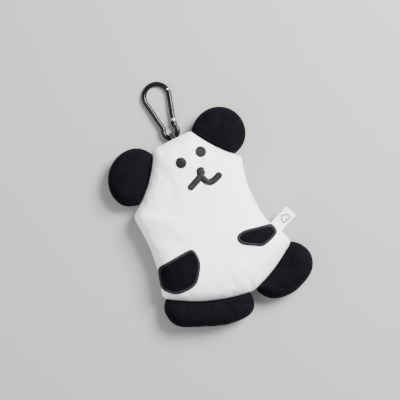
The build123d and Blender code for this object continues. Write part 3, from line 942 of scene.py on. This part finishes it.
bm = bmesh.new()
strip = [bm.verts.new((out, -LABEL_WIDTH / 2, up)) for out, up in label_section()]
for a, b in zip(strip, strip[1:]):
    bm.edges.new((a, b))
WIDTH_STEPS = 10
bmesh.ops.spin(bm, geom=bm.verts[:] + bm.edges[:], cent=(0, 0, 0), axis=(0, 0, 1), angle=0.0,
               steps=WIDTH_STEPS, dvec=(0, LABEL_WIDTH / WIDTH_STEPS, 0))
bmesh.ops.remove_doubles(bm, verts=bm.verts[:], dist=0.001 * MM)
for vert in bm.verts:
    vert.co = label_point(vert.co.x, vert.co.y, vert.co.z)
bmesh.ops.recalc_face_normals(bm, faces=bm.faces)
label = new_object("side_label_ribbon", bm, satin_ribbon)
thick = label.modifiers.new("ribbon", "SOLIDIFY")
thick.thickness, thick.offset = RIBBON, 0
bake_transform(label)
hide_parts("side_label")


def heart_line(size, count=40):
    """A heart's outline in the label's own plane: (out, across)."""
    line = []
    for i in range(count + 1):
        turn = 2 * pi * i / count
        x = 16 * sin(turn) ** 3
        y = 13 * cos(turn) - 5 * cos(2 * turn) - 2 * cos(3 * turn) - cos(4 * turn)
        line.append((x * size / 32, y * size / 32))
    return line


HEART = 7.2 * MM
HEART_THREAD = 0.85 * MM
heart_run = []
for x, y in heart_line(HEART):
    out, across = LABEL_LENGTH * 0.56 + x, -(y + 0.3 * MM)
    heart_run.append(label_point(out, -across, LABEL_OPEN / 2 + RIBBON / 2 + 0.02 * MM))
heart = sewn_threads("label_heart", [heart_run], grey_thread, thickness=HEART_THREAD)
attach(heart, "label")

# %% [markdown]
# ## The cord loop
# One short length of round cord. Both its ends are sewn in between the head's panels, and its middle
# goes round the rod of the clip. A limp cord bends freely, but it still has to leave the seam before
# it can turn back.

# %% Cord
CORD_DIAMETER = 1.8 * MM
RIB_PITCH, RIB_HEIGHT = 2.4 * MM, 0.05  # of the braid, the height as a share of the radius
CORD_ROUTE = [
    (-1.1, 60.9, 11.0), (-1.1, 64.8, 11.0), (-1.1, 68.8, 11.0), (-1.1, 71.4, 9.9), (-1.1, 73.3, 6.9),
    (-0.7, 73.2, 1.2), (0.7, 65.8, 1.2), (1.1, 65.6, 7.4), (1.1, 70.3, 7.6), (1.1, 71.7, 7.6),
    (1.1, 72.7, 8.6), (1.1, 72.7, 10.0), (1.1, 71.7, 11.0), (1.1, 70.3, 11.0), (1.1, 65.2, 11.0),
    (1.1, 60.9, 11.0),
]
cord_line = bpy.data.curves.new("cord_line", "CURVE")
cord_line.dimensions, cord_line.resolution_u = "3D", 16
route = cord_line.splines.new("NURBS")
route.points.add(len(CORD_ROUTE) - 1)
for point, place in zip(route.points, CORD_ROUTE):
    point.co = (*(Vector(place) * MM), 1)
route.order_u, route.use_endpoint_u = 3, True
cord_path = line_points(cord_line)


def braided_tube(name, path, diameter, material, sides=16):
    """A tube along a path, with the slanting ribs of a braid pressed into it."""
    bm = bmesh.new()
    ring = bmesh.ops.create_circle(bm, segments=sides, radius=diameter / 2, cap_ends=True)["verts"]
    loop = bm.edges[:]
    ways = np.gradient(path, axis=0)
    reference = Vector((1, 0, 0))
    run = 0.0
    rings = [ring]
    for _ in path[1:]:
        grown = bmesh.ops.extrude_edge_only(bm, edges=loop)["geom"]
        ring = [g for g in grown if isinstance(g, bmesh.types.BMVert)]
        fresh = set(ring)
        loop = [g for g in grown if isinstance(g, bmesh.types.BMEdge) and fresh.issuperset(g.verts)]
        rings.append(ring)
    bmesh.ops.contextual_create(bm, geom=loop)
    for i, (ring, place, way) in enumerate(zip(rings, path, ways)):
        along = Vector(way).normalized()
        first = (reference - along * reference.dot(along)).normalized()
        second = along.cross(first)
        run += np.linalg.norm(path[i] - path[i - 1]) if i else 0.0
        for vert in ring:
            turn = atan2(vert.co.y, vert.co.x)
            wound = 2 * pi * run / RIB_PITCH
            rib = 1 + RIB_HEIGHT * sin(4 * turn + wound) * sin(4 * turn - wound)
            vert.co = Vector(place) + (first * cos(turn) + second * sin(turn)) * diameter / 2 * rib
    bmesh.ops.recalc_face_normals(bm, faces=bm.faces)
    return new_object(name, bm, material)


cord = braided_tube("cord_loop_braid", cord_path, CORD_DIAMETER, black_cord)
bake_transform(cord)
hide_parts("loop_cord", "loop_tails")
